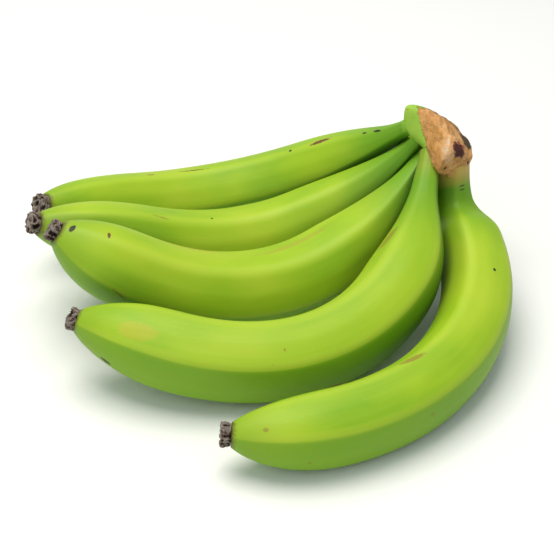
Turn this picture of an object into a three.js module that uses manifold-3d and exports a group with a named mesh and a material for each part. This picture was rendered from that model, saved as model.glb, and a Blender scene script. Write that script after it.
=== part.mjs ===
// A hand of five green plantains, still joined at the crown they were cut with.
// Millimetres, +Z up. The hand lies on the backs of its curved fingers with the crown raised.
// The origin is on the surface the hand lies on, under the middle of its outline.
import * as THREE from 'three';
import { mergeVertices } from 'three/addons/utils/BufferGeometryUtils.js';
import Module from 'manifold-3d';

const wasm = await Module();
wasm.setup();

// Shape shared by all fingers. Shares of a radius or of a length have no unit.
const TIP_SHARE = 0.31;
const TAPER_ROUND = 2.6;
const TAPER_FULL = 0.9;
const RIBS = 5;
const RIB_HIGH = 0.034;
const RIB_SHARP = 0.008;
const RIB_LEFT_AT_TIP = 0.35;
const NECK_IN_CROWN = 5;

// Each finger: where its neck leaves the crown, which way it sets off, and how it bends.
// root is in mm. azimuth, rise and roll are degrees: the way the neck sets off, and the side it bends to.
// bend is the whole turn in degrees, spread over the length between the shares from and to.
// length along the middle line, radius of the full body and neck (the neck's radius) are in mm.
// flare is how many mm the neck gains in radius for each mm along. The shoulder, where the neck
// swells to the full body, starts at the share shoulder and is swell long; the tip's taper is taper long.
// rib is the angle in degrees from the inner side of the bend to the first rib. dip is how many degrees
// the neck starts off out of the plane of the bend; it is gone at the share dipTo.
const FINGERS = [
  {
    letter: 'a', root: [74.4, 68.9, 77.5], azimuth: 129, rise: -40.3, roll: 14.4, bend: 109.8,
    from: 0.02, to: 0.91, length: 247.5, radius: 17.6, neck: 4.1, flare: 0.13,
    shoulder: 0.03, swell: 0.3, taper: 0.29, rib: 35.8, dip: 0, dipTo: 0.2,
  },
  {
    letter: 'b', root: [78.3, 65.1, 70.1], azimuth: 170.9, rise: -55.9, roll: 59.2, bend: 84.2,
    from: -0.04, to: 0.74, length: 229.5, radius: 18.4, neck: 3.8, flare: 0.12,
    shoulder: 0.01, swell: 0.33, taper: 0.28, rib: -5.6, dip: 0, dipTo: 0.2,
  },
  {
    letter: 'c', root: [83.6, 61.5, 62.1], azimuth: 232.7, rise: -43.7, roll: 131.1, bend: 93.6,
    from: -0.06, to: 0.95, length: 228.5, radius: 19.9, neck: 4.7, flare: 0.13,
    shoulder: 0.01, swell: 0.34, taper: 0.2, rib: -58.6, dip: 0, dipTo: 0.2,
  },
  {
    letter: 'd', root: [86.4, 50.4, 64.6], azimuth: -100.5, rise: -22.1, roll: 170.2, bend: 97.1,
    from: 0.12, to: 0.85, length: 252.5, radius: 19.5, neck: 5, flare: 0.09,
    shoulder: 0.05, swell: 0.25, taper: 0.22, rib: 229.8, dip: 12.8, dipTo: 0.2,
  },
  {
    letter: 'e', root: [99.9, 54.2, 65.9], azimuth: -44.1, rise: -9.7, roll: 182.8, bend: 153.9,
    from: -0.21, to: 1.25, length: 263.8, radius: 18, neck: 7.5, flare: 0.06,
    shoulder: 0.08, swell: 0.12, taper: 0.2, rib: 219, dip: 80, dipTo: 0.2,
  },
];

// The crown: a curved strip of stalk tissue. Its section spans two directions, the way the cut
// face looks and the way the skin side looks, and both turn along the strip.
const CROWN_FROM = new THREE.Vector3(76.2, 75.2, 80.2);
const CROWN_MIDDLE = new THREE.Vector3(98.2, 69.8, 75);
const CROWN_TO = new THREE.Vector3(100.2, 44.8, 69.5);
const CUT_AT_FROM = new THREE.Vector3(0.05, 0.35, 0.94);
const CUT_AT_TO = new THREE.Vector3(0.57, 0.15, 0.81);
const SKIN_AT_FROM = new THREE.Vector3(-0.35, -0.8, 0.48);
const SKIN_AT_TO = new THREE.Vector3(-0.68, -0.47, 0.56);
const CROWN_HALF_DEEP = 10.5;
const CROWN_HALF_WIDE = 13;
const CROWN_SQUARE = 0.45;
const CROWN_BLUNT = 0.28;

// The dried blossom ends: half profiles of one knobby nub, radius then height.
const NUB_PROFILE = [[0, 0], [5.6, 0], [6.3, 0.9], [6, 2.2], [6.4, 3.4], [5.2, 4.6], [2.8, 5.2], [0, 5.3]];
const NUB_LUMPS = 0.1;

const GAP = 0.3;
const AROUND = 25;
const ALONG = 36;
const STEPS = 4;

// Smooth rise from 0 to 1 while the share goes from 0 to 1.
function smoothRise(share) {
  const x = THREE.MathUtils.clamp(share, 0, 1);
  return x * x * (3 - 2 * x);
}

// Radius in mm at a share of the length: thin neck, shoulder, full body, blunt tip.
function girth(finger, share) {
  const neck = finger.neck + finger.flare * finger.length * share;
  const swell = smoothRise((share - finger.shoulder) / finger.swell);
  const shoulder = neck + (finger.radius - neck) * swell;
  const left = THREE.MathUtils.clamp((1 - share) / finger.taper, 0, 1);
  const taper = TIP_SHARE + (1 - TIP_SHARE) * (1 - (1 - left) ** TAPER_ROUND) ** TAPER_FULL;
  return shoulder * taper;
}

// Five soft ribs: a rounded pentagon with nearly flat sides, softer towards the tip.
function ribShare(angle, share) {
  const strength = 1 - (1 - RIB_LEFT_AT_TIP) * smoothRise((share - 0.75) / 0.25);
  return 1 + strength * (RIB_HIGH * Math.cos(RIBS * angle) + RIB_SHARP * Math.cos(2 * RIBS * angle));
}

// The three unit directions of a finger where its neck leaves the crown.
function startDirections(finger) {
  const azimuth = THREE.MathUtils.degToRad(finger.azimuth);
  const rise = THREE.MathUtils.degToRad(finger.rise);
  const roll = THREE.MathUtils.degToRad(finger.roll);
  const heading = new THREE.Vector3(
    Math.cos(rise) * Math.cos(azimuth), Math.cos(rise) * Math.sin(azimuth), Math.sin(rise));
  const level = new THREE.Vector3(-Math.sin(azimuth), Math.cos(azimuth), 0);
  const upper = new THREE.Vector3().crossVectors(heading, level);
  const towards = level.clone().multiplyScalar(Math.cos(roll)).addScaledVector(upper, Math.sin(roll));
  return { heading, towards, side: new THREE.Vector3().crossVectors(heading, towards) };
}

// How far the finger has turned at a share of its length, in radians.
function turnAt(finger, share) {
  const u = THREE.MathUtils.clamp((share - finger.from) / (finger.to - finger.from), 0, 1);
  return THREE.MathUtils.degToRad(finger.bend) * (0.5 * u + 0.5 * smoothRise(u));
}

// Directions at a share of the length: along the finger, to the inner side of the bend, and across.
function directionsAt(finger, start, share) {
  const { heading, towards, side } = start;
  const turn = turnAt(finger, share);
  const dip = THREE.MathUtils.degToRad(finger.dip) * (1 - smoothRise(share / finger.dipTo));
  const flat = heading.clone().multiplyScalar(Math.cos(turn)).addScaledVector(towards, Math.sin(turn));
  const inner = towards.clone().multiplyScalar(Math.cos(turn)).addScaledVector(heading, -Math.sin(turn));
  const tangent = flat.clone().multiplyScalar(Math.cos(dip)).addScaledVector(side, Math.sin(dip));
  const across = side.clone().multiplyScalar(Math.cos(dip)).addScaledVector(flat, -Math.sin(dip));
  return { tangent, inner, side: across };
}

// The bent middle line of a finger: one station per ring of its surface.
function middleLine(finger) {
  const start = startDirections(finger);
  const whole = finger.length + NECK_IN_CROWN;
  const step = whole / (ALONG * STEPS);
  const first = directionsAt(finger, start, 0).tangent;
  const point = new THREE.Vector3(...finger.root).addScaledVector(first, -NECK_IN_CROWN);
  const stations = [];
  for (let ring = 0; ring <= ALONG; ring += 1) {
    const share = ((ring / ALONG) * whole - NECK_IN_CROWN) / finger.length;
    stations.push({ point: point.clone(), share, ...directionsAt(finger, start, share) });
    for (let k = 0; k < STEPS; k += 1) {
      const middle = share + ((k + 0.5) * step) / finger.length;
      point.addScaledVector(directionsAt(finger, start, middle).tangent, step);
    }
  }
  return stations;
}

// A plain shape as a solid, its doubled seam vertices joined.
function solidOf(geometry) {
  const bare = geometry.clone();
  bare.deleteAttribute('normal');
  bare.deleteAttribute('uv');
  const joined = mergeVertices(bare, 1e-4);
  return new wasm.Manifold(new wasm.Mesh({
    numProp: 3,
    vertProperties: new Float32Array(joined.attributes.position.array),
    triVerts: new Uint32Array(joined.index.array),
  }));
}

// A solid back as a geometry, moved so that its own origin is at the given point.
function geometryOf(solid, origin) {
  const mesh = solid.getMesh();
  const geometry = new THREE.BufferGeometry();
  geometry.setAttribute('position', new THREE.BufferAttribute(new Float32Array(mesh.vertProperties), 3));
  geometry.setIndex(new THREE.BufferAttribute(new Uint32Array(mesh.triVerts), 1));
  geometry.translate(-origin.x, -origin.y, -origin.z);
  geometry.computeVertexNormals();
  return geometry;
}

// A finger with its neck: a cylinder whose rings follow the middle line, pressed flat where it lies.
function fingerGeometry(finger) {
  const stations = middleLine(finger);
  const tube = new THREE.CylinderGeometry(1, 1, 1, AROUND, ALONG);
  const positions = tube.attributes.position;
  const phase = THREE.MathUtils.degToRad(finger.rib);
  for (let i = 0; i < positions.count; i += 1) {
    const station = stations[Math.round((0.5 - positions.getY(i)) * ALONG)];
    const angle = Math.atan2(-positions.getX(i), positions.getZ(i));
    const fullness = Math.hypot(positions.getX(i), positions.getZ(i));
    const reach = fullness * girth(finger, station.share) * ribShare(angle - phase, station.share);
    const vertex = station.point.clone()
      .addScaledVector(station.inner, Math.cos(angle) * reach)
      .addScaledVector(station.side, Math.sin(angle) * reach);
    positions.setXYZ(i, vertex.x, vertex.y, Math.max(0, vertex.z));
  }
  return tube;
}

// The middle line of the crown strip at a share of its length.
function crownLine(share) {
  const first = CROWN_FROM.clone().lerp(CROWN_MIDDLE, share);
  const second = CROWN_MIDDLE.clone().lerp(CROWN_TO, share);
  return first.lerp(second, share);
}

// Squares off a sine or cosine. A tiny one counts as 0, so that doubled seam vertices stay together.
function squared(value) {
  return Math.abs(value) < 1e-9 ? 0 : Math.sign(value) * Math.abs(value) ** CROWN_SQUARE;
}

// The crown, blown up by the outset: a ball squared off into a bent strip with a blunt section.
function crownGeometry(outset) {
  const ball = new THREE.SphereGeometry(1, 40, 24);
  const positions = ball.attributes.position;
  const longAxis = new THREE.Vector3().subVectors(CROWN_TO, CROWN_FROM).normalize();
  for (let i = 0; i < positions.count; i += 1) {
    const along = positions.getY(i);
    const reach = (1 - along * along) ** (CROWN_BLUNT / 2);
    const angle = Math.atan2(positions.getX(i), positions.getZ(i));
    const share = 0.5 + 0.5 * Math.sign(along) * Math.abs(along) ** 0.8;
    const cutFacing = CUT_AT_FROM.clone().lerp(CUT_AT_TO, share).normalize();
    const skinFacing = SKIN_AT_FROM.clone().lerp(SKIN_AT_TO, share).normalize();
    const vertex = crownLine(share)
      .addScaledVector(cutFacing, (CROWN_HALF_DEEP + outset) * reach * squared(Math.cos(angle)))
      .addScaledVector(skinFacing, (CROWN_HALF_WIDE + outset) * reach * squared(Math.sin(angle)))
      .addScaledVector(longAxis, outset * along);
    positions.setXYZ(i, vertex.x, vertex.y, vertex.z);
  }
  return ball;
}

// A dried blossom end: a turned nub with lumps, its flat foot at its own origin.
function nubGeometry(turn) {
  const profile = NUB_PROFILE.map(([radius, height]) => new THREE.Vector2(radius, height));
  const nub = new THREE.LatheGeometry(profile, 18);
  const positions = nub.attributes.position;
  for (let i = 0; i < positions.count; i += 1) {
    const angle = Math.atan2(positions.getX(i), positions.getZ(i)) + turn;
    const height = positions.getY(i);
    const lump = 1 + NUB_LUMPS * Math.sin(3 * angle + 0.8 * height) * Math.cos(2 * angle - 0.5 * height);
    positions.setX(i, positions.getX(i) * lump);
    positions.setZ(i, positions.getZ(i) * lump);
  }
  return nub;
}

function greenPeel() {
  return new THREE.MeshStandardMaterial({ color: 0x7fb52a, roughness: 0.5, metalness: 0 });
}

function crownTissue() {
  return new THREE.MeshStandardMaterial({ color: 0xc9a25f, roughness: 0.8, metalness: 0 });
}

function driedBlossom() {
  return new THREE.MeshStandardMaterial({ color: 0x4a3f34, roughness: 0.9, metalness: 0 });
}

const group = new THREE.Group();

function place(name, geometry, material, origin) {
  const mesh = new THREE.Mesh(geometry, material);
  mesh.name = name;
  mesh.position.copy(origin);
  group.add(mesh);
  return mesh;
}

const crownAt = crownLine(0.5);
place('crown', geometryOf(solidOf(crownGeometry(0)), crownAt), crownTissue(), crownAt);

const crownRoom = solidOf(crownGeometry(GAP));
for (const finger of FINGERS) {
  const root = new THREE.Vector3(...finger.root);
  const body = solidOf(fingerGeometry(finger)).subtract(crownRoom);
  place(`finger_${finger.letter}`, geometryOf(body, root), greenPeel(), root);

  const end = middleLine(finger)[ALONG];
  const foot = end.point.clone().addScaledVector(end.tangent, GAP);
  const nub = place(`blossom_end_${finger.letter}`, nubGeometry(finger.rib), driedBlossom(), foot);
  const axes = new THREE.Matrix4().makeBasis(end.inner, end.tangent, end.side.clone().negate());
  nub.quaternion.setFromRotationMatrix(axes);
}

export default group;
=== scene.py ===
"""Looks of a hand of five unripe plantains that still hang together at their cut crown.

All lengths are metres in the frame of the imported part: +Z up, the origin on the surface
under the middle of the hand. Every new surface is computed with numpy from a formula.
"""

import logging
from dataclasses import dataclass, field
from enum import Enum

import bpy
import numpy as np
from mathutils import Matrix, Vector


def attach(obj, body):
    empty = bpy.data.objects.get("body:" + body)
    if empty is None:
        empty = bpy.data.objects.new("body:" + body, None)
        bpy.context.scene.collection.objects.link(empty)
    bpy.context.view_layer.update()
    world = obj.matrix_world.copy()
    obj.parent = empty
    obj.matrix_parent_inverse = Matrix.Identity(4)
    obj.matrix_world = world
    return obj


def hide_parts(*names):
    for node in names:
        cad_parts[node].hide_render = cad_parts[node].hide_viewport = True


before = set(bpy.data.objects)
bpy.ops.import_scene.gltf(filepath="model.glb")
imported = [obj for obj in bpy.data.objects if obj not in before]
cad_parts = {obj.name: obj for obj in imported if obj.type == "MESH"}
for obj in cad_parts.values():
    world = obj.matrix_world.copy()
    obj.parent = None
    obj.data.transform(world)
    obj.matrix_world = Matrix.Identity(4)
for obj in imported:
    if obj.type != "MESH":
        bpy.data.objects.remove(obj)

Tree = bpy.types.NodeTree
Socket = bpy.types.NodeSocket

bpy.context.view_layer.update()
MM = 0.001
BODY = "root"
log = logging.getLogger("plantain_hand")


def linear(hex_colour: str) -> tuple[float, float, float, float]:
    """Turns an sRGB hex colour into linear red, green, blue and alpha.

    Args:
        hex_colour: Colour such as "#8CC63F".

    Returns:
        Linear colour: c / 12.92 below 0.04045, else ((c + 0.055) / 1.055) ** 2.4.
    """
    parts = [int(hex_colour[i : i + 2], 16) / 255 for i in (1, 3, 5)]
    curve = [c / 12.92 if c <= 0.04045 else ((c + 0.055) / 1.055) ** 2.4 for c in parts]
    return (curve[0], curve[1], curve[2], 1.0)


def add_node(tree: Tree, kind: str, inputs: dict | None = None, stops: list | None = None,
             **settings: object) -> bpy.types.Node:
    """Adds one node with its settings, values and links.

    Args:
        tree: Node tree that gets the node.
        kind: Node type name, such as "ShaderNodeTexNoise".
        inputs: Socket name or number to a value, or to the output socket it is linked to.
        stops: Colour stops of a ramp, as (place, hex colour or grey value).
        settings: Node properties.

    Returns:
        The new node.
    """
    node = tree.nodes.new(kind)
    for name, value in settings.items():
        setattr(node, name, value)
    for name, value in (inputs or {}).items():
        if isinstance(value, Socket):
            tree.links.new(value, node.inputs[name])
        else:
            node.inputs[name].default_value = value
    if stops:
        elements = node.color_ramp.elements
        while len(elements) < len(stops):
            elements.new(0.5)
        for element, (place, colour) in zip(elements, stops):
            element.position = place
            element.color = linear(colour) if isinstance(colour, str) else (colour, colour, colour, 1.0)
    return node


def new_material(name: str) -> tuple[bpy.types.Material, Tree]:
    """Makes an empty node material and gives it back with its tree."""
    material = bpy.data.materials.new(name)
    material.use_nodes = True
    material.node_tree.nodes.clear()
    return material, material.node_tree


def attribute(tree: Tree, name: str, output: str = "Fac") -> Socket:
    """Reads one of the values a piece carries on its points."""
    return add_node(tree, "ShaderNodeAttribute", attribute_name=name).outputs[output]


def noise(tree: Tree, place: Socket, scale: float, detail: float = 2.0,
          roughness: float = 0.5, distortion: float = 0.0) -> Socket:
    """Adds noise round 0.5.

    Args:
        tree: Node tree.
        place: Point the noise is read at.
        scale: Repeats a metre.
        detail: Number of finer layers.
        roughness: Strength of the finer layers.
        distortion: How much the pattern swirls.

    Returns:
        Socket of the value.
    """
    return add_node(tree, "ShaderNodeTexNoise",
                    {"Vector": place, "Scale": scale, "Detail": detail, "Roughness": roughness,
                     "Distortion": distortion}).outputs["Fac"]


def part_of(tree: Tree, value: Socket, low: float, high: float, most: float = 1.0,
            curve: str = "LINEAR") -> Socket:
    """Part that goes from 0 where the value is low to most where it is high."""
    return add_node(tree, "ShaderNodeMapRange",
                    {"Value": value, "From Min": low, "From Max": high, "To Min": 0.0, "To Max": most},
                    interpolation_type=curve).outputs[0]


def times_plus(tree: Tree, value: Socket, factor: float, added: Socket) -> Socket:
    """The value times the factor, plus another value."""
    return add_node(tree, "ShaderNodeMath", {0: value, 1: factor, 2: added},
                    operation="MULTIPLY_ADD").outputs[0]


def over(tree: Tree, below: object, above: object, part: Socket) -> Socket:
    """Lays one colour over another by a part from 0 to 1."""
    return add_node(tree, "ShaderNodeMix", {"Factor": part, 6: below, 7: above},
                    data_type="RGBA").outputs[2]


def raised(tree: Tree, height: Socket, strength: float, distance: float,
           normal: Socket | None = None) -> Socket:
    """Relief from a height pattern, at most the distance in mm high, on top of another relief."""
    inputs = {"Height": height, "Strength": strength, "Distance": distance * MM}
    if normal is not None:
        inputs["Normal"] = normal
    return add_node(tree, "ShaderNodeBump", inputs).outputs["Normal"]


def smooth_rise(share: np.ndarray) -> np.ndarray:
    """Smooth rise 3x^2 - 2x^3 of x, the share held between 0 and 1."""
    x = np.clip(share, 0.0, 1.0)
    return x * x * (3.0 - 2.0 * x)


def turned(first: tuple, last: tuple, share: np.ndarray) -> np.ndarray:
    """Unit directions that turn from the first to the last as the share goes from 0 to 1."""
    weight = share[..., None]
    mixed = (1 - weight) * np.array(first) + weight * np.array(last)
    return mixed / np.linalg.norm(mixed, axis=-1, keepdims=True)


def wave_noise(points: np.ndarray, scale: float, seed: int, count: int = 24) -> np.ndarray:
    """Smooth seeded noise as a sum of plane waves of mixed directions and lengths.

    Args:
        points: Array of points (..., 3), in metres.
        scale: Typical wave length in metres.
        seed: Seed of the directions and phases.
        count: Number of waves.

    Returns:
        Noise with a spread of about 1, the sum of sin(k . p + phase) divided by sqrt(count / 2).
    """
    rng = np.random.default_rng(seed)
    ways = rng.normal(size=(count, 3))
    ways *= (2 * np.pi / (scale * rng.uniform(0.6, 1.7, count)) / np.linalg.norm(ways, axis=1))[:, None]
    phases = rng.uniform(0, 2 * np.pi, count)
    return np.sin(points @ ways.T + phases).sum(-1) / np.sqrt(count / 2)


def grid_faces(rings: int, around: int) -> np.ndarray:
    """Quads of a tube of rings, closed around, facing out when the rings turn right-handed along it.

    Args:
        rings: Number of rings.
        around: Vertices per ring.

    Returns:
        Array (n, 4) of vertex numbers.
    """
    ring, spot = np.meshgrid(np.arange(rings - 1), np.arange(around), indexing="ij")
    after = (spot + 1) % around
    low, high = ring * around, (ring + 1) * around
    return np.stack([low + spot, low + after, high + after, high + spot], -1).reshape(-1, 4)


def capped_tube(rings: int, around: int) -> tuple[np.ndarray, np.ndarray]:
    """Faces of a tube of rings, closed by two middle points that are numbered after the rings.

    Args:
        rings: Number of rings.
        around: Vertices per ring.

    Returns:
        Quads of the tube, and the triangles that close its first and its last ring.
    """
    count = rings * around
    spots = np.arange(around)
    after = (spots + 1) % around
    first = np.stack([after, spots, np.full(around, count)], -1)
    last = np.stack([count - around + spots, count - around + after, np.full(around, count + 1)], -1)
    return grid_faces(rings, around), np.concatenate([first, last])


def make_piece(name: str, vertices: np.ndarray, quads: np.ndarray, triangles: np.ndarray,
               values: dict[str, np.ndarray]) -> bpy.types.Object:
    """Makes a smooth mesh object at the origin, with float or vector attributes on its points.

    Args:
        name: Piece name.
        vertices: Points (n, 3) in metres.
        quads: Four-cornered faces.
        triangles: Three-cornered faces.
        values: Attribute name to values per point, one number or three each.

    Returns:
        The new object.
    """
    mesh = bpy.data.meshes.new(name)
    corners = np.concatenate([quads.ravel(), triangles.ravel()]).astype(np.int32)
    sizes = np.concatenate([np.full(len(quads), 4), np.full(len(triangles), 3)]).astype(np.int32)
    mesh.vertices.add(len(vertices))
    mesh.vertices.foreach_set("co", vertices.astype(np.float32).ravel())
    mesh.loops.add(len(corners))
    mesh.loops.foreach_set("vertex_index", corners)
    mesh.polygons.add(len(sizes))
    mesh.polygons.foreach_set("loop_start", np.concatenate([[0], np.cumsum(sizes)[:-1]]).astype(np.int32))
    mesh.update(calc_edges=True)
    mesh.validate()
    mesh.polygons.foreach_set("use_smooth", np.ones(len(mesh.polygons), bool))
    for key, array in values.items():
        kind, slot = ("FLOAT_VECTOR", "vector") if array.ndim == 2 else ("FLOAT", "value")
        mesh.attributes.new(key, kind, "POINT").data.foreach_set(slot, array.astype(np.float32).ravel())
    piece = bpy.data.objects.new(name, mesh)
    bpy.context.scene.collection.objects.link(piece)
    return piece


def hand_over(piece: bpy.types.Object, node: str, material: bpy.types.Material) -> None:
    """Dresses a finished piece, lets it ride with the hand and stand for its plain solid."""
    piece.data.materials.append(material)
    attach(piece, BODY)
    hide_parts(node)
    log.info("%s: %d faces", piece.name, len(piece.data.polygons))


class Blemish(Enum):
    """What a mark on the peel is, with the colour in its middle."""

    SCAR = "#6B4A22"
    SCUFF = "#8A6A2C"
    DOT = "#2A2A14"
    SUNNY = "#CFA93C"
    FLUSH = "#A98A3C"


@dataclass(frozen=True)
class Mark:
    """A mark on a finger: a ragged ellipse in the skin.

    The share tells where along the finger it lies, the angle (degrees, from the inner side of
    the bend) where round it. Long and wide are half sizes in mm along and across the finger.
    """

    kind: Blemish
    share: float
    angle: float
    long: float
    wide: float
    slant: float = 0.0
    strength: float = 1.0


@dataclass(frozen=True)
class UnripePeel:
    """Unripe plantain peel: a smooth, thin-waxed skin, grown, not moulded.

    The wax gives the eye a broad soft sheen. Long faint fibres under the skin draw streaks
    along the finger, the ridges are a little yellower, and the neck and the tip are deeper green.
    Facets that look down are painted deeper green as shade, and the gaps between the fingers nearly black as
    painted shade and shadow.
    Pattern scales are repeats a metre: clouds of 30 mm, streaks of 2.4 mm, pores of 1.4 mm.
    """

    name: str = "unripe plantain peel"
    middle: str = "#97BA1E"
    bright: str = "#AAC22C"
    deep: str = "#7FAC1A"
    neck: str = "#5C951C"
    tip: str = "#7BA020"
    ridge: str = "#B0C73C"
    # Painted shade on facets that look down.
    shade: str = "#6CA018"
    # Painted shade and shadow where the skin faces a neighbouring finger.
    painted_gap_shade: str = "#28500A"
    collar: str = "#C8A552"
    rim: str = "#5A4A26"
    roughness: float = 0.48
    cloud_scale: float = 34.0
    streak_scale: float = 420.0
    pore_scale: float = 700.0
    rim_scale: float = 900.0
    mark_scale: float = 650.0

    def build(self, finger: "Finger") -> bpy.types.Material:
        """Makes the peel's material for one finger, with that finger's own marks."""
        material, tree = new_material(f"{self.name} {finger.letter}")
        straight = attribute(tree, "straight", "Vector")
        share = attribute(tree, "share")
        # Every finger takes another part of the cloud pattern; clouds and streaks are drawn out along it.
        shifted = add_node(tree, "ShaderNodeMapping",
                           {"Vector": straight, "Location": (0.3 * ord(finger.letter), 0, 0),
                            "Scale": (1.0, 1.0, 0.45)}).outputs[0]
        stretched = add_node(tree, "ShaderNodeMapping",
                             {"Vector": straight, "Scale": (1.0, 1.0, 0.05)}).outputs[0]
        clouds = noise(tree, shifted, self.cloud_scale)
        streaks = noise(tree, stretched, self.streak_scale, 3.0, 0.6)
        colour = self.grown(tree, share, clouds, streaks)
        colour = self.dried(tree, finger, straight, share, clouds, colour)
        colour = self.marked(tree, finger, straight, colour)
        pores = noise(tree, straight, self.pore_scale, 3.0, 0.6)
        rough = add_node(tree, "ShaderNodeMapRange",
                         {"Value": pores, "From Min": 0.3, "From Max": 0.7,
                          "To Min": self.roughness - 0.05, "To Max": self.roughness + 0.07}).outputs[0]
        # Fibres and pores raise the wax by hundredths of a millimetre.
        relief = raised(tree, pores, 0.12, 0.2, raised(tree, streaks, 0.25, 0.3))
        skin = add_node(tree, "ShaderNodeBsdfPrincipled",
                        {"Base Color": colour, "Roughness": rough, "IOR": 1.42, "Specular IOR Level": 0.36,
                         "Normal": relief, "Subsurface Weight": 0.12,
                         "Subsurface Radius": (0.5, 1.0, 0.25), "Subsurface Scale": 2 * MM})
        add_node(tree, "ShaderNodeOutputMaterial", {"Surface": skin.outputs[0]})
        return material

    def grown(self, tree: Tree, share: Socket, clouds: Socket, streaks: Socket) -> Socket:
        """Lays down the greens of the living skin, with painted shade on facets that look down and next to
        the neighbours.

        Args:
            tree: Node tree of the material.
            share: Share of the length, 0 at the crown.
            clouds: Broad noise for yellower and deeper patches.
            streaks: Noise drawn out along the finger.

        Returns:
            Colour socket.
        """
        colour = add_node(tree, "ShaderNodeValToRGB", {"Fac": clouds},
                          [(0.3, self.deep), (0.5, self.middle), (0.7, self.bright)]).outputs["Color"]
        colour = over(tree, colour, linear(self.bright), part_of(tree, streaks, 0.35, 0.75, 0.22))
        colour = over(tree, colour, linear(self.ridge), part_of(tree, attribute(tree, "rib"), 0.55, 1.0, 0.4))
        # Painted shade: facets that look down get the deeper green.
        colour = over(tree, colour, linear(self.shade), attribute(tree, "painted_facet_shade"))
        # Deeper green on the neck and at the tip.
        neck = part_of(tree, share, 0.26, 0.04, 0.8, "SMOOTHSTEP")
        colour = over(tree, colour, linear(self.neck), neck)
        tip = part_of(tree, share, 0.9, 1.0, 0.6, "SMOOTHSTEP")
        colour = over(tree, colour, linear(self.tip), tip)
        # Painted shade and shadow: skin close to a neighbour that faces it is laid over with near-black
        # green.
        return over(tree, colour, linear(self.painted_gap_shade), part_of(tree, attribute(tree, "painted_gap_shade"), 0.0, 1.0, 0.92))

    def dried(self, tree: Tree, finger: "Finger", straight: Socket, share: Socket, clouds: Socket,
              colour: Socket) -> Socket:
        """Dries both ends: a tan, patchy collar at the crown and a thin brown rim at the tip."""
        collar_place = times_plus(tree, clouds, 0.06, share)
        colour = over(tree, colour, linear(self.collar),
                      part_of(tree, collar_place, 0.078, 0.036, finger.collar))
        rim_place = times_plus(tree, noise(tree, straight, self.rim_scale), 0.012, share)
        return over(tree, colour, linear(self.rim), part_of(tree, rim_place, 0.998, 1.006, 0.85))

    def marked(self, tree: Tree, finger: "Finger", straight: Socket, colour: Socket) -> Socket:
        """Paints each mark of the finger as a ragged ellipse in the straightened finger's space."""
        ragged = noise(tree, straight, self.mark_scale, 3.0, 0.65)
        for mark in finger.marks:
            reach = finger.girth(np.array([mark.share]))[0]
            angle = np.radians(mark.angle)
            centre = (reach * np.cos(angle), reach * np.sin(angle), mark.share * finger.length * MM)
            moved = add_node(tree, "ShaderNodeVectorMath",
                             {0: straight, 1: centre}, operation="SUBTRACT").outputs[0]
            # Turned about the outward normal of the spot, so that a slant lies in the skin.
            slanted = add_node(tree, "ShaderNodeVectorRotate",
                               {"Vector": moved, "Axis": (np.cos(angle), np.sin(angle), 0),
                                "Angle": np.radians(mark.slant)}, rotation_type="AXIS_ANGLE").outputs[0]
            inverse = (1 / MM / mark.wide, 1 / MM / mark.wide, 1 / MM / mark.long)
            scaled = add_node(tree, "ShaderNodeVectorMath",
                              {0: slanted, 1: inverse}, operation="MULTIPLY").outputs[0]
            far = add_node(tree, "ShaderNodeVectorMath", {0: scaled}, operation="LENGTH").outputs["Value"]
            part = part_of(tree, times_plus(tree, ragged, 0.9, far), 1.5, 1.2, mark.strength)
            colour = over(tree, colour, linear(mark.kind.value), part)
        return colour


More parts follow.
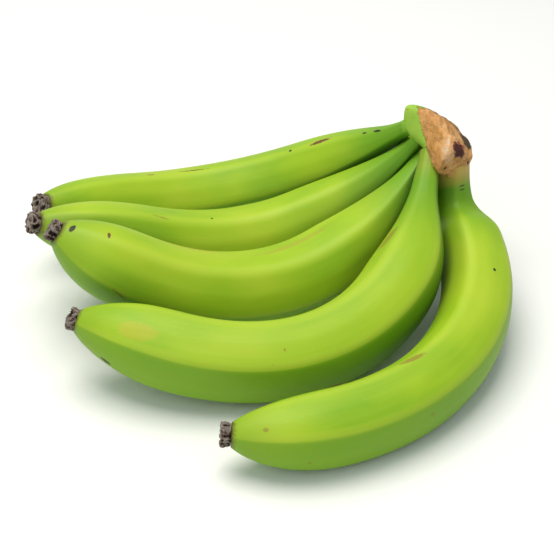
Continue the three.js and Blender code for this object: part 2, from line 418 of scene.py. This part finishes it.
@dataclass(frozen=True)
class CutCrown:
    """Crown tissue: a fibrous stalk base, cut off with a knife and browned in air.

    The cut face gives the eye dull tan and orange fibres with a pinkish cream streak and a
    dark spot of dried sap; the uncut side keeps its green skin inside a thin dark edge, with painted shade
    along its lower lip.
    Pattern scales are repeats a metre: fibres of 1.6 mm, patches of 8 mm, rags of 2.4 mm.
    """

    name: str = "cut crown tissue"
    tan: str = "#B98444"
    orange: str = "#CE985A"
    straw: str = "#D8AF74"
    cream: str = "#E2C4A4"
    brown: str = "#80562F"
    sap: str = "#45201A"
    rust: str = "#8A4A2A"
    # Dark edge colour: the knife line, the back rim, and painted shade along the lower lip.
    edge_and_shade: str = "#4A3A20"
    skin: str = "#A6C648"
    skin_deep: str = "#7FAE34"
    under: str = "#8FA83A"
    fibre_scale: float = 620.0
    patch_scale: float = 130.0
    rag_scale: float = 420.0

    def build(self) -> bpy.types.Material:
        """Makes the crown's material from the piece's own cut, skin, spot, cream and edge values."""
        material, tree = new_material(self.name)
        place = add_node(tree, "ShaderNodeTexCoord").outputs["Object"]
        # The fibres run across the crown, five times as long as wide.
        across = add_node(tree, "ShaderNodeMapping",
                          {"Vector": place, "Rotation": (0.4, 0.5, 0.9),
                           "Scale": (1.0, 0.18, 1.0)}).outputs[0]
        fibres = noise(tree, across, self.fibre_scale, 3.0, 0.55, 0.4)
        patches = noise(tree, place, self.patch_scale, 3.0, 0.5)
        ragged = noise(tree, place, self.rag_scale, 4.0, 0.65)
        colour = self.zoned(tree, fibres, patches, ragged)
        height = add_node(tree, "ShaderNodeMath", {0: fibres, 1: attribute(tree, "cut")},
                          operation="MULTIPLY").outputs[0]
        tissue = add_node(tree, "ShaderNodeBsdfPrincipled",
                          {"Base Color": colour, "Roughness": 0.72, "IOR": 1.4,
                           "Normal": raised(tree, height, 0.5, 0.8), "Subsurface Weight": 0.06,
                           "Subsurface Radius": (1.0, 0.7, 0.35), "Subsurface Scale": 1.5 * MM})
        add_node(tree, "ShaderNodeOutputMaterial", {"Surface": tissue.outputs[0]})
        return material

    def zoned(self, tree: Tree, fibres: Socket, patches: Socket, ragged: Socket) -> Socket:
        """Lays the zones of the crown over each other, from the underside to the sap spot.

        Args:
            tree: Node tree of the material.
            fibres: Noise of the cut fibres.
            patches: Broad noise.
            ragged: Noise that frays the borders.

        Returns:
            Colour socket.
        """
        face = add_node(tree, "ShaderNodeValToRGB", {"Fac": patches},
                        [(0.32, self.tan), (0.52, self.orange), (0.72, self.straw)]).outputs["Color"]
        face = over(tree, face, linear(self.brown), part_of(tree, fibres, 0.55, 0.36, 0.55))
        green = over(tree, linear(self.skin_deep), linear(self.skin), patches)
        under = over(tree, linear(self.skin_deep), linear(self.under), patches)

        def zone(below: Socket, key: str, above: object, low: float, high: float,
                 wobble: float) -> Socket:
            """Lays a colour over another where a value, frayed by noise, passes from low to high."""
            frayed = times_plus(tree, ragged, wobble, attribute(tree, key))
            return over(tree, below, above, part_of(tree, frayed, low + wobble / 2, high + wobble / 2))

        colour = zone(under, "skin", green, 0.4, 0.6, 0.2)
        # The knife line: a thin dark, ragged edge between the green skin and the cut face.
        colour = zone(colour, "cut", linear(self.edge_and_shade), 0.38, 0.42, 2.0)
        colour = zone(colour, "cut", face, 0.45, 0.5, 2.0)
        colour = zone(colour, "cream", linear(self.cream), 0.3, 1.1, 1.6)
        # Darker along the back rim of the cut face, and painted shade along the lower lip of the skin side.
        colour = zone(colour, "edge_and_shade", linear(self.edge_and_shade), 0.4, 0.7, 0.7)
        colour = zone(colour, "spot", linear(self.rust), 0.28, 0.42, 1.8)
        return zone(colour, "spot", linear(self.sap), 0.48, 0.58, 1.8)


@dataclass(frozen=True)
class DriedBlossom:
    """Dried blossom end: shrivelled flower remains, dry as bark.

    It gives the eye a dull grey-brown crumpled knob with dark and pale fibre flecks; painted shade darkens
    the deeper folds and turns the pits black.
    The flecks are about 2 mm wide, 520 a metre.
    """

    name: str = "dried blossom end"
    middle: str = "#6B5F55"
    pale: str = "#968B80"
    # Near-black of dark tissue and of the painted shade in the pits.
    dark_and_pit_shade: str = "#17110E"
    rust: str = "#5E4230"
    fleck_scale: float = 520.0

    def build(self) -> bpy.types.Material:
        """Makes the material from fleck noise and the piece's own depth of crumple."""
        material, tree = new_material(self.name)
        place = add_node(tree, "ShaderNodeTexCoord").outputs["Object"]
        flecks = noise(tree, place, self.fleck_scale, 5.0, 0.7, 0.8)
        # Painted shade: the deeper a spot is pushed in, the lower its value and the darker its colour.
        mixed = times_plus(tree, attribute(tree, "crumple"), 0.5, flecks)
        colour = add_node(tree, "ShaderNodeValToRGB", {"Fac": mixed},
                          [(0.38, self.dark_and_pit_shade), (0.5, self.rust), (0.6, self.middle), (0.82, self.pale)]
                          ).outputs["Color"]
        husk = add_node(tree, "ShaderNodeBsdfPrincipled",
                        {"Base Color": colour, "Roughness": 0.88, "IOR": 1.4,
                         "Normal": raised(tree, flecks, 0.9, 1.5)})
        add_node(tree, "ShaderNodeOutputMaterial", {"Surface": husk.outputs[0]})
        return material


@dataclass
class Finger:
    """One fruit: a bent, five-ribbed body with a thin neck, from the crown to a blunt tip.

    Lengths are mm and angles degrees. Azimuth and rise tell where the neck sets off to, roll
    which side it bends to; bend is the whole turn, spread between the shares first and last.
    Dip is the angle by which the neck starts out of the plane of the bend, gone at dip_to.
    """

    letter: str
    root: tuple[float, float, float]
    azimuth: float
    rise: float
    roll: float
    bend: float
    first: float
    last: float
    length: float
    radius: float
    neck: float
    flare: float
    shoulder: float
    swell: float
    taper: float
    rib: float
    dip: float = 0.0
    dip_to: float = 0.2
    collar: float = 0.0
    in_crown: float = 5.0
    root_size: float = 1.0
    marks: list[Mark] = field(default_factory=list)
    around: int = 144
    rings: int = 240
    steps: int = 4001
    tip_share: float = 0.31
    taper_round: float = 2.6
    taper_full: float = 0.9
    rib_high: float = 0.034
    rib_sharp: float = 0.008
    rib_left: float = 0.35
    grown: float = 0.9
    grown_from: float = 0.1
    grown_to: float = 0.3
    facet_shadow: float = 0.75
    inside: float = 0.997
    uneven: float = 0.006
    uneven_long: float = 0.035

    def girth(self, share: np.ndarray) -> np.ndarray:
        """Radius in metres: the flaring neck swells smoothly to the body, times the tip's blunt taper.

        The necks are grown together near the crown, so each is a little fuller there.
        """
        neck = self.neck + self.flare * self.length * np.maximum(share, 0.0)
        neck += self.grown * (1 - smooth_rise((share - self.grown_from) / (self.grown_to - self.grown_from)))
        swell = smooth_rise((share - self.shoulder) / self.swell)
        left = np.clip((1.0 - share) / self.taper, 0.0, 1.0)
        full = (1 - (1 - left) ** self.taper_round) ** self.taper_full
        taper = self.tip_share + (1 - self.tip_share) * full
        return (neck + (self.radius - neck) * swell) * taper * MM

    def rib_share(self, angle: np.ndarray, share: np.ndarray) -> np.ndarray:
        """Share of the radius: 1 + strength (high cos 5a + sharp cos 10a), softer towards the tip."""
        strength = 1 - (1 - self.rib_left) * smooth_rise((share - 0.75) / 0.25)
        return 1 + strength * (self.rib_high * np.cos(5 * angle) + self.rib_sharp * np.cos(10 * angle))

    def directions(self) -> tuple[np.ndarray, np.ndarray, np.ndarray]:
        """Unit directions at the neck: the way it sets off, the side it bends to, and across."""
        azimuth, rise, roll = np.radians([self.azimuth, self.rise, self.roll])
        heading = np.array([np.cos(rise) * np.cos(azimuth), np.cos(rise) * np.sin(azimuth), np.sin(rise)])
        level = np.array([-np.sin(azimuth), np.cos(azimuth), 0.0])
        towards = np.cos(roll) * level + np.sin(roll) * np.cross(heading, level)
        return heading, towards, np.cross(heading, towards)

    def turn(self, share: np.ndarray) -> np.ndarray:
        """Turn in radians at a share of the length: half even, half by the smooth rise."""
        u = np.clip((share - self.first) / (self.last - self.first), 0.0, 1.0)
        return np.radians(self.bend) * (0.5 * u + 0.5 * smooth_rise(u))

    def directions_at(self, share: np.ndarray) -> tuple[np.ndarray, np.ndarray, np.ndarray]:
        """Unit directions at shares of the length: along, to the inner side of the bend, and across.

        Args:
            share: Shares of the length.

        Returns:
            Arrays (n, 3). The neck dips out of the plane of the bend by dip (1 - smooth_rise).
        """
        heading, towards, side = self.directions()
        turn = self.turn(share)[:, None]
        dip = np.radians(self.dip) * (1 - smooth_rise(share / self.dip_to))[:, None]
        flat = np.cos(turn) * heading + np.sin(turn) * towards
        inner = np.cos(turn) * towards - np.sin(turn) * heading
        return np.cos(dip) * flat + np.sin(dip) * side, inner, np.cos(dip) * side - np.sin(dip) * flat

    def middle_line(self, share: np.ndarray) -> tuple[np.ndarray, np.ndarray, np.ndarray, np.ndarray]:
        """Points, tangents, inner and side directions of the bent middle line.

        Args:
            share: Shares of the length, 0 at the root.

        Returns:
            Points in metres, by summing the direction along the finger over fine steps.
        """
        start = -self.in_crown / self.length
        fine = np.linspace(start, 1.0, self.steps)
        step = (fine[1] - fine[0]) * self.length
        walked = np.cumsum(self.directions_at((fine[1:] + fine[:-1]) / 2)[0], axis=0) * step
        walked = np.vstack([np.zeros(3), walked])
        first = self.directions_at(np.zeros(1))[0][0]
        start_point = np.array(self.root) - self.in_crown * first
        points = np.stack([np.interp(share, fine, walked[:, k]) for k in range(3)], -1)
        tangent, inner, side = self.directions_at(share)
        return (start_point + points) * MM, tangent, inner, side

    def build(self) -> bpy.types.Object:
        """Builds the finger: rings round the middle line, a small round rim and a closed tip.

        Returns:
            The piece, each point at middle + (cos a inner + sin a side) inside girth rib_share,
            with its height held at or above the surface it lies on.
        """
        start = -self.in_crown / self.length
        share = np.concatenate([np.linspace(start, 1.0, self.rings), [1.0, 1.0]])
        points, _, inner, side = self.middle_line(share)
        angle = np.arange(self.around) * 2 * np.pi / self.around
        reach, straight = self.section(start, share, angle)
        vertices = (points[:, None, :] + inner[:, None, :] * (np.cos(angle) * reach)[..., None]
                    + side[:, None, :] * (np.sin(angle) * reach)[..., None])
        vertices[..., 2] = np.maximum(vertices[..., 2], 0.0)
        # Painted shade from below and from the neighbouring fingers, kept on the points.
        painted_facet_shade, painted_gap_shade = self.painted_shades(vertices, angle, inner, side)
        rib = np.cos(5 * (angle[None, :] - np.radians(self.rib))) * np.ones_like(reach)
        ends = np.array([[0, 0, start * self.length * MM], [0, 0, self.length * MM]])
        values = {
            "straight": np.concatenate([straight.reshape(-1, 3), ends]),
            "share": np.concatenate([np.repeat(share, self.around), [start, 1.0]]),
            "rib": np.concatenate([rib.ravel(), [0.0, 0.0]]),
            "painted_facet_shade": np.concatenate([painted_facet_shade.ravel(), [0.0, 0.0]]),
            "painted_gap_shade": np.concatenate([painted_gap_shade.ravel(), [0.0, 0.0]]),
        }
        all_points = np.concatenate([vertices.reshape(-1, 3), points[[0, -1]]])
        return make_piece(f"peel_{self.letter}", all_points, *capped_tube(len(share), self.around), values)

    def section(self, start: float, share: np.ndarray, angle: np.ndarray) -> tuple[np.ndarray, np.ndarray]:
        """How far the skin is from the middle line.

        Args:
            start: Share at which the finger starts, inside the crown.
            share: Shares of the rings; the last two rings round off the rim of the tip.
            angle: Angles round the finger, in radians.

        Returns:
            Distances (rings, around) in metres, and the points of the straightened finger.
        """
        shrink = np.concatenate([np.ones(self.rings), [0.9, 0.5]])
        ribbed = self.rib_share(angle[None, :] - np.radians(self.rib), share[:, None])
        # The start is hidden in the crown, where the neck may run out thin.
        rooted = self.root_size + (1 - self.root_size) * smooth_rise((share - start) / (-0.8 * start))
        # The skin stays a hair inside the plain solid.
        reach = self.inside * self.girth(share)[:, None] * ribbed * (shrink * rooted)[:, None]
        straight = np.stack([reach * np.cos(angle), reach * np.sin(angle),
                             np.broadcast_to(share[:, None] * self.length * MM, reach.shape)], -1)
        # The skin is never a perfect tube: it sinks by up to 0.3 mm over 20 to 60 mm.
        drawn_out = straight * np.array([1.0, 1.0, 0.5])
        hollows = np.abs(wave_noise(drawn_out, self.uneven_long, ord(self.letter), 18))
        return reach * (1 - self.uneven * hollows * smooth_rise((share - 0.1) / 0.2)[:, None]), straight

    def painted_shades(self, vertices: np.ndarray, angle: np.ndarray, inner: np.ndarray,
               side: np.ndarray) -> tuple[np.ndarray, np.ndarray]:
        """How deep the painted shade is from below and from the neighbours, as values from 0 to 1.

        Args:
            vertices: Points (rings, around, 3) in metres.
            angle: Angles round the finger, in radians.
            inner: Unit directions (rings, 3) to the inner side of the bend.
            side: Unit directions (rings, 3) across.

        Returns:
            Two arrays (rings, around) of painted shade: one for facets that look down, as crisp as the ridge
            between two facets, and one for skin close to a neighbour.
        """
        facet = self.facet_angle(angle)
        outward, facing = (inner[:, None, :] * np.cos(a)[..., None] + side[:, None, :] * np.sin(a)[..., None]
                           for a in (angle, facet))
        painted_facet_shade = self.facet_shadow * smooth_rise((0.3 - facing[..., 2]) / 0.5)
        return painted_facet_shade, self.shade_from_neighbours(vertices, 0.7 * facing + 0.3 * outward)

    def facet_angle(self, angle: np.ndarray) -> np.ndarray:
        """Angle of the middle of the facet a spot lies on, turning quickly to the next one at a ridge.

        Args:
            angle: Angles round the finger, in radians.

        Returns:
            rib + (number + 0.5 + shift) 72 degrees, where shift leads over to the neighbour by
            half a facet within 6 degrees of each ridge.
        """
        fifth = 2 * np.pi / 5
        place = (angle - np.radians(self.rib)) / fifth
        number = np.floor(place)
        across = place - number
        shift = 0.5 * smooth_rise(1 - (1 - across) / 0.08) - 0.5 * smooth_rise(1 - across / 0.08)
        return np.radians(self.rib) + (number + 0.5 + shift) * fifth

    def shade_from_neighbours(self, vertices: np.ndarray, outward: np.ndarray) -> np.ndarray:
        """How much painted shade and shadow each spot gets from being closed in by the other fingers.

        Args:
            vertices: Points (rings, around, 3) in metres.
            outward: Directions the skin faces, of the same shape.

        Returns:
            Array (rings, around): 1 where the skin faces a neighbour that touches it, falling to
            about 0.5 at 5 mm and to 0 at 18 mm from it.
        """
        neighbour_shade = np.zeros(vertices.shape[:2])
        share = np.linspace(0.0, 1.0, 60)
        for other in FINGERS:
            if other.letter == self.letter:
                continue
            for place, size in zip(other.middle_line(share)[0], other.girth(share)):
                way = place - vertices
                far = np.linalg.norm(way, axis=-1)
                facing = smooth_rise(((way * outward).sum(-1) / far - 0.1) / 0.6)
                gap = (far - size) / MM
                near = 0.45 * (1 - smooth_rise(gap / 5)) + 0.55 * (1 - smooth_rise(gap / 18))
                neighbour_shade = np.maximum(neighbour_shade, facing * near)
        return neighbour_shade

    def tip(self) -> tuple[np.ndarray, np.ndarray, np.ndarray, np.ndarray]:
        """Point, tangent, inner and side direction at the very tip."""
        points, tangent, inner, side = self.middle_line(np.array([1.0]))
        return points[0], tangent[0], inner[0], side[0]


@dataclass
class BlossomEnd:
    """The dried blossom end on a tip: a crumpled knob with a flared, pitted face. Sizes are mm."""

    finger: Finger
    foot: float = 5.7
    flare: float = 6.3
    high: float = 5.2
    gap: float = 0.3
    crumple: float = 0.75
    around: int = 120
    rings: int = 70

    def build(self) -> bpy.types.Object:
        """Builds the knob: a turned half profile, pushed in by folds and pits, never out of its solid.

        Returns:
            The piece. Its profile goes up the flank from the foot to the flared rim and back to the
            middle of the hollow face; the push is crumple times ridged noise.
        """
        point, tangent, inner, side = self.finger.tip()
        t = np.linspace(0, 1, self.rings)
        # Places along the profile, and the radius and the height there.
        key = np.array([0.0, 0.12, 0.3, 0.5, 0.62, 0.72, 0.85, 1.0])
        radius = np.interp(t, key, [self.foot * 0.9, self.foot, self.flare * 0.93, self.flare,
                                    self.flare * 0.92, self.flare * 0.72, self.flare * 0.35, 0.0])
        height = np.interp(t, key, [0.0, 0.4, 1.6, 3.2, self.high * 0.9, self.high, self.high * 0.93,
                                    self.high * 0.86])
        angle = np.arange(self.around) * 2 * np.pi / self.around
        seed = ord(self.finger.letter) * 7
        circle = np.stack([np.cos(angle), np.sin(angle)], -1)
        local = np.concatenate([radius[:, None, None] * circle[None], np.broadcast_to(
            height[:, None, None], (self.rings, self.around, 1))], -1)
        folds = np.abs(wave_noise(local * MM * np.array([1, 1, 0.5]), 0.0045, seed, 20))
        pits = np.abs(wave_noise(local * MM, 0.0022, seed + 1, 26))
        deep = np.clip(self.crumple * (0.75 * folds + 0.45 * pits), 0, 1.9)
        # Outward is sideways on the flank and turns to straight up on the face.
        lift = (np.pi / 2 * smooth_rise((t - 0.45) / 0.3))[:, None, None]
        outward = np.concatenate([circle[None] * np.cos(lift), np.broadcast_to(
            np.sin(lift), (self.rings, self.around, 1))], -1)
        keep = smooth_rise(t / 0.1)[:, None, None]
        local = local - outward * deep[..., None] * keep
        base = point + tangent * self.gap * MM
        axes = np.stack([inner, side, tangent])
        vertices = (base + (local * MM) @ axes).reshape(-1, 3)
        # The last ring has no radius: it is one point, the middle of the face.
        rows = (self.rings - 1) * self.around
        points = np.concatenate([vertices[:rows], [base, vertices[rows:].mean(0)]])
        # The depth goes to the material, which paints the deeper folds and pits darker as shade.
        values = {"crumple": np.concatenate([(0.9 - deep).ravel()[:rows], [0.0, 0.0]])}
        return make_piece(f"blossom_knob_{self.finger.letter}", points,
                          *capped_tube(self.rings - 1, self.around), values)


@dataclass
class Crown:
    """The crown: a curved strip of stalk tissue with a knife-cut face and a green skin side.

    Sizes are mm. The strip runs from start to end; cut_at and skin_at are the directions its cut
    face and its skin side look to at each end; the knife plane parts tan tissue from green skin.
    """

    start: tuple[float, float, float] = (76.2, 75.2, 80.2)
    middle: tuple[float, float, float] = (98.2, 69.8, 75.0)
    end: tuple[float, float, float] = (100.2, 44.8, 69.5)
    cut_at_start: tuple[float, float, float] = (0.05, 0.35, 0.94)
    cut_at_end: tuple[float, float, float] = (0.57, 0.15, 0.81)
    skin_at_start: tuple[float, float, float] = (-0.35, -0.8, 0.48)
    skin_at_end: tuple[float, float, float] = (-0.68, -0.47, 0.56)
    knife_at: tuple[float, float, float] = (84.0, 62.5, 83.3)
    knife_facing: tuple[float, float, float] = (0.8, -0.35, 0.5)
    half_deep: float = 10.4
    half_wide: float = 12.9
    square: float = 0.45
    blunt: float = 0.28
    fibre_deep: float = 0.34
    pit_deep: float = 0.14
    dent_deep: float = 0.45
    sap_deep: float = 0.7
    around: int = 220
    rings: int = 200

    def line(self, share: np.ndarray) -> np.ndarray:
        """Middle line of the strip: a quadratic curve through start and end, drawn towards the middle."""
        s = np.asarray(share)[..., None]
        return ((1 - s) ** 2 * np.array(self.start) + 2 * s * (1 - s) * np.array(self.middle)
                + s**2 * np.array(self.end))

    def build(self) -> bpy.types.Object:
        """Builds the crown as a squared ball along its line, its cut face roughened by torn fibres.

        Returns:
            The piece: line(y) + cut_facing deep sq(cos a) reach + skin_facing wide sq(sin a) reach,
            where reach = sqrt(1 - y^2) ** blunt and sq(v) = sign(v) |v| ** square.
        """
        polar = np.linspace(0, np.pi, self.rings)[1:-1]
        y = np.cos(polar)[:, None]
        angle = (np.arange(self.around) * 2 * np.pi / self.around)[None, :]
        reach = np.sin(polar)[:, None] ** self.blunt
        square_cos = np.sign(np.cos(angle)) * np.abs(np.cos(angle)) ** self.square
        square_sin = np.sign(np.sin(angle)) * np.abs(np.sin(angle)) ** self.square
        share = 0.5 + 0.5 * np.sign(y) * np.abs(y) ** 0.8
        share = np.broadcast_to(share, (len(polar), self.around))
        cut = turned(self.cut_at_start, self.cut_at_end, share)
        skin = turned(self.skin_at_start, self.skin_at_end, share)
        points = (self.line(share) + cut * (self.half_deep * reach * square_cos)[..., None]
                  + skin * (self.half_wide * reach * square_sin)[..., None])
        across = reach * square_sin
        facing = reach * square_cos
        values = self.zones(points, share, facing, across)
        # Torn fibres 5 mm apart, pits of 1.9 mm and dents of 11 mm sink into the cut face.
        torn = self.fibre_deep * np.abs(wave_noise(points * MM * np.array([1.0, 0.45, 1.0]), 0.005, 5, 26))
        torn += self.pit_deep * np.abs(wave_noise(points * MM, 0.0019, 6, 26))
        torn += self.dent_deep * np.abs(wave_noise(points * MM, 0.011, 7, 20))
        points = points - cut * (torn * smooth_rise(values["cut"].reshape(torn.shape)))[..., None]
        # The sap spot is a shallow hollow in the face towards the front.
        hollow = self.sap_deep * values["spot"].reshape(torn.shape) * (across > 0)
        points = points - skin * hollow[..., None]
        ends = self.line(np.array([1.0, 0.0]))
        vertices = np.concatenate([points.reshape(-1, 3), ends]) * MM
        quads, caps = capped_tube(len(polar), self.around)
        # The two closing points take the mean value of the ring beside them.
        values = {key: np.concatenate([array, [array[:self.around].mean(), array[-self.around:].mean()]])
                  for key, array in values.items()}
        return make_piece("crown_block", vertices, quads, caps, values)

    def zones(self, points: np.ndarray, share: np.ndarray, facing: np.ndarray,
              across: np.ndarray) -> dict[str, np.ndarray]:
        """Where the cut face, skin, sap spot, cream streak, dark rim and painted lip shade lie, as values
        from 0 to 1.

        Args:
            points: Surface points in mm.
            share: Share along the strip, 0 at the back end.
            facing: Height towards the cut face, -1 to 1.
            across: Place towards the skin side, -1 to 1.

        Returns:
            Attribute name to values per point.
        """
        # The knife went through at a slant: beyond this plane lies cut tissue, before it green skin.
        beyond = (points - np.array(self.knife_at)) @ np.array(self.knife_facing)
        front = smooth_rise((across - 0.35) / 0.3)
        top = smooth_rise((facing - 0.45) / 0.25)
        last = smooth_rise((share - 0.93) / 0.04)
        cut = np.maximum(np.maximum(front, top), last) * smooth_rise(beyond / 4.5 + 0.5)
        # Places on the cut face as seen from the front and above: rightwards and upwards in mm.
        right = points[..., 0]
        up = 0.559 * points[..., 1] + 0.829 * points[..., 2]

        def patch(x: float, y: float, wide: float, high: float, slant: float = 0.0) -> np.ndarray:
            """Values that fall from 1 inside to 0 outside an ellipse on the cut face."""
            c, s = np.cos(np.radians(slant)), np.sin(np.radians(slant))
            dx, dy = right - x, up - y
            far = np.hypot((c * dx + s * dy) / wide, (c * dy - s * dx) / high)
            return smooth_rise(1.5 - far) * smooth_rise((np.maximum(across, facing) - 0.3) / 0.2)

        spot = np.maximum(patch(101.3, 90.5, 3.2, 4.2, 15), 0.8 * patch(96.2, 80.3, 2.6, 1.6, -25))
        spot = np.maximum(spot, 0.9 * patch(107.6, 84.0, 0.9, 1.6))
        cream = np.maximum(0.75 * patch(94.8, 92.5, 1.6, 6.5, -12), 0.9 * patch(100.0, 84.5, 3.4, 2.2))
        cream = np.maximum(cream, 0.55 * patch(99.5, 88.0, 7.0, 7.5))
        rim = smooth_rise((facing - 0.8) / 0.12) * smooth_rise((0.2 - across) / 0.4)
        # Painted shade along the lower lip of the skin side, where it turns under.
        painted_lip_shade = smooth_rise((-facing - 0.8) / 0.12) * smooth_rise((across - 0.5) / 0.3)
        edge_and_shade = np.maximum(0.55 * rim + 0.45 * rim * smooth_rise((right - 103.5) / 2.5), 0.9 * painted_lip_shade)
        skin = np.maximum(smooth_rise((across - 0.1) / 0.3), smooth_rise((facing + 0.2) / 0.3))
        return {"cut": cut.ravel(), "skin": skin.ravel(), "spot": spot.ravel(), "cream": cream.ravel(),
                "edge_and_shade": edge_and_shade.ravel()}


@dataclass
class Studio:
    """Pale floor, soft lights from above and from the front, and the camera of the picture."""

    target: tuple[float, float, float] = (0.006, -0.0156, 0.039)
    elevation: float = 34.0
    distance: float = 0.654
    lens: float = 85.0
    floor_half: float = 6.0
    floor_below: float = 0.0001

    def camera(self) -> None:
        """Makes the camera: it looks along +Y and down by the elevation, at the target."""
        e = np.radians(self.elevation)
        back = Vector((0.0, -np.cos(e), np.sin(e)))
        data = bpy.data.cameras.new("camera")
        data.lens, data.sensor_width, data.clip_start, data.clip_end = self.lens, 36.0, 0.01, 50.0
        camera = bpy.data.objects.new("camera", data)
        camera.location = Vector(self.target) + back * self.distance
        camera.rotation_mode = "QUATERNION"
        camera.rotation_quaternion = (-back).to_track_quat("-Z", "Y")
        bpy.context.scene.collection.objects.link(camera)
        bpy.context.scene.camera = camera

    def floor(self) -> None:
        """Lays the floor: one wide pale sheet, a matt studio paper."""
        # It lies a hair below the fruit, so that no two faces coincide.
        half, low = self.floor_half, -self.floor_below
        corners = np.array([[-half, -half, low], [half, -half, low], [half, half, low], [-half, half, low]])
        piece = make_piece("floor", corners, np.array([[0, 1, 2, 3]]), np.zeros((0, 3), int), {})
        material, tree = new_material("matt white studio paper")
        paper = add_node(tree, "ShaderNodeBsdfPrincipled",
                         {"Base Color": linear("#EDEEEB"), "Roughness": 0.6, "Specular IOR Level": 0.3})
        add_node(tree, "ShaderNodeOutputMaterial", {"Surface": paper.outputs[0]})
        piece.data.materials.append(material)

    def light(self, name: str, place: tuple[float, float, float], size: float, power: float,
              colour: str = "#FFFFFF") -> None:
        """Hangs a square soft light that faces the hand."""
        data = bpy.data.lights.new(name, "AREA")
        data.shape, data.size, data.energy = "SQUARE", size, power
        data.color = linear(colour)[:3]
        lamp = bpy.data.objects.new(name, data)
        lamp.location = place
        lamp.rotation_mode = "QUATERNION"
        lamp.rotation_quaternion = (-(Vector(place) - Vector((0, 0, 0.04)))).to_track_quat("-Z", "Y")
        bpy.context.scene.collection.objects.link(lamp)

    def build(self) -> None:
        """Sets up camera, floor, white surroundings and the soft lights."""
        self.camera()
        self.floor()
        world = bpy.data.worlds.new("white studio")
        world.use_nodes = True
        tree = world.node_tree
        tree.nodes.clear()
        sky = add_node(tree, "ShaderNodeBackground", {"Color": linear("#EDF3FF"), "Strength": 0.46})
        add_node(tree, "ShaderNodeOutputWorld", {"Surface": sky.outputs[0]})
        bpy.context.scene.world = world
        self.light("overhead softbox", (-0.2, 0.12, 1.3), 1.0, 18.0, "#FFFAF0")
        self.light("front softbox", (-0.5, -1.1, 1.0), 1.2, 4.0)
        bpy.context.scene.view_settings.view_transform = "Standard"


FINGERS = [
    Finger("a", root=(74.4, 68.9, 77.5), azimuth=129, rise=-40.3, roll=14.4, bend=109.8, first=0.02,
           last=0.91, length=247.5, radius=17.6, neck=4.1, flare=0.13, shoulder=0.03, swell=0.3,
           taper=0.29, rib=35.8, marks=[
        Mark(Blemish.SCAR, 0.593, 42, 13, 0.8, slant=4),
        Mark(Blemish.SCUFF, 0.717, 44, 3, 0.9),
        Mark(Blemish.DOT, 0.32, 36, 1.4, 1.1),
        Mark(Blemish.SCAR, 0.235, 38, 11, 1.5, slant=-8),
        Mark(Blemish.DOT, 0.103, 38, 2.2, 0.8),
        Mark(Blemish.DOT, 0.066, 36, 5, 0.9, slant=8)]),
    Finger("b", root=(78.3, 65.1, 70.1), azimuth=170.9, rise=-55.9, roll=59.2, bend=84.2, first=-0.04,
           last=0.74, length=229.5, radius=18.4, neck=3.8, flare=0.12, shoulder=0.01, swell=0.33,
           taper=0.28, rib=-5.6, in_crown=9.0, marks=[
        Mark(Blemish.SCUFF, 0.73, 356, 7, 1.0, slant=10, strength=0.7),
        Mark(Blemish.DOT, 0.58, 2, 1.1, 0.9)]),
    Finger("c", root=(83.6, 61.5, 62.1), azimuth=232.7, rise=-43.7, roll=131.1, bend=93.6, first=-0.06,
           last=0.95, length=228.5, radius=19.9, neck=4.7, flare=0.13, shoulder=0.01, swell=0.34,
           taper=0.2, rib=-58.6, in_crown=10.0, marks=[
        Mark(Blemish.DOT, 0.983, 302, 1.4, 2.4, slant=10),
        Mark(Blemish.SCAR, 0.91, 308, 0.9, 2.0, slant=-12),
        Mark(Blemish.SCAR, 0.83, 228, 6, 0.9, slant=18, strength=0.7),
        Mark(Blemish.FLUSH, 0.72, 5, 26, 2.4, slant=2, strength=0.5),
        Mark(Blemish.FLUSH, 0.4, 342, 30, 2.2, slant=-3, strength=0.35)]),
    Finger("d", root=(86.4, 50.4, 64.6), azimuth=-100.5, rise=-22.1, roll=170.2, bend=97.1, first=0.12,
           last=0.85, length=252.5, radius=19.5, neck=5.0, flare=0.09, shoulder=0.05, swell=0.25,
           taper=0.22, rib=229.8, dip=12.8, collar=0.2, in_crown=9.0, marks=[
        Mark(Blemish.SCUFF, 0.217, 328, 12, 3.6, slant=12, strength=0.6),
        Mark(Blemish.SUNNY, 0.877, 254, 11, 5, slant=-6, strength=0.28),
        Mark(Blemish.DOT, 0.923, 174, 5, 1.3, slant=10),
        Mark(Blemish.SCUFF, 0.54, 166, 9, 1.6),
        Mark(Blemish.SCUFF, 0.607, 254, 0.8, 1.1, strength=0.6),
        Mark(Blemish.SCUFF, 0.63, 234, 1.0, 0.8, strength=0.5)]),
    Finger("e", root=(99.9, 54.2, 65.9), azimuth=-44.1, rise=-9.7, roll=182.8, bend=153.9, first=-0.21,
           last=1.25, length=263.8, radius=18.0, neck=7.5, flare=0.06, shoulder=0.08, swell=0.12,
           taper=0.2, rib=219.0, dip=80.0, collar=0.9, root_size=0.3, marks=[
        Mark(Blemish.DOT, 0.33, 252, 1.3, 1.1),
        Mark(Blemish.SCUFF, 0.643, 290, 9, 1.8, slant=10, strength=0.7),
        Mark(Blemish.SCUFF, 0.947, 240, 1.5, 1.1, strength=0.6),
        Mark(Blemish.SCUFF, 0.88, 174, 1.1, 0.9, strength=0.6),
        Mark(Blemish.SCUFF, 0.67, 198, 1.1, 0.9, strength=0.6),
        Mark(Blemish.DOT, 0.043, 268, 0.5, 1.9),
        Mark(Blemish.DOT, 0.054, 266, 0.5, 1.9)]),
]


def main() -> None:
    """Builds the hand, piece by piece, and the studio round it."""
    logging.basicConfig(level=logging.INFO, format="%(name)s %(message)s")
    peel, tissue, husk = UnripePeel(), CutCrown().build(), DriedBlossom().build()
    for finger in FINGERS:
        hand_over(finger.build(), f"finger_{finger.letter}", peel.build(finger))
        hand_over(BlossomEnd(finger).build(), f"blossom_end_{finger.letter}", husk)
    hand_over(Crown().build(), "crown", tissue)
    Studio().build()


if __name__ == "__main__":
    main()
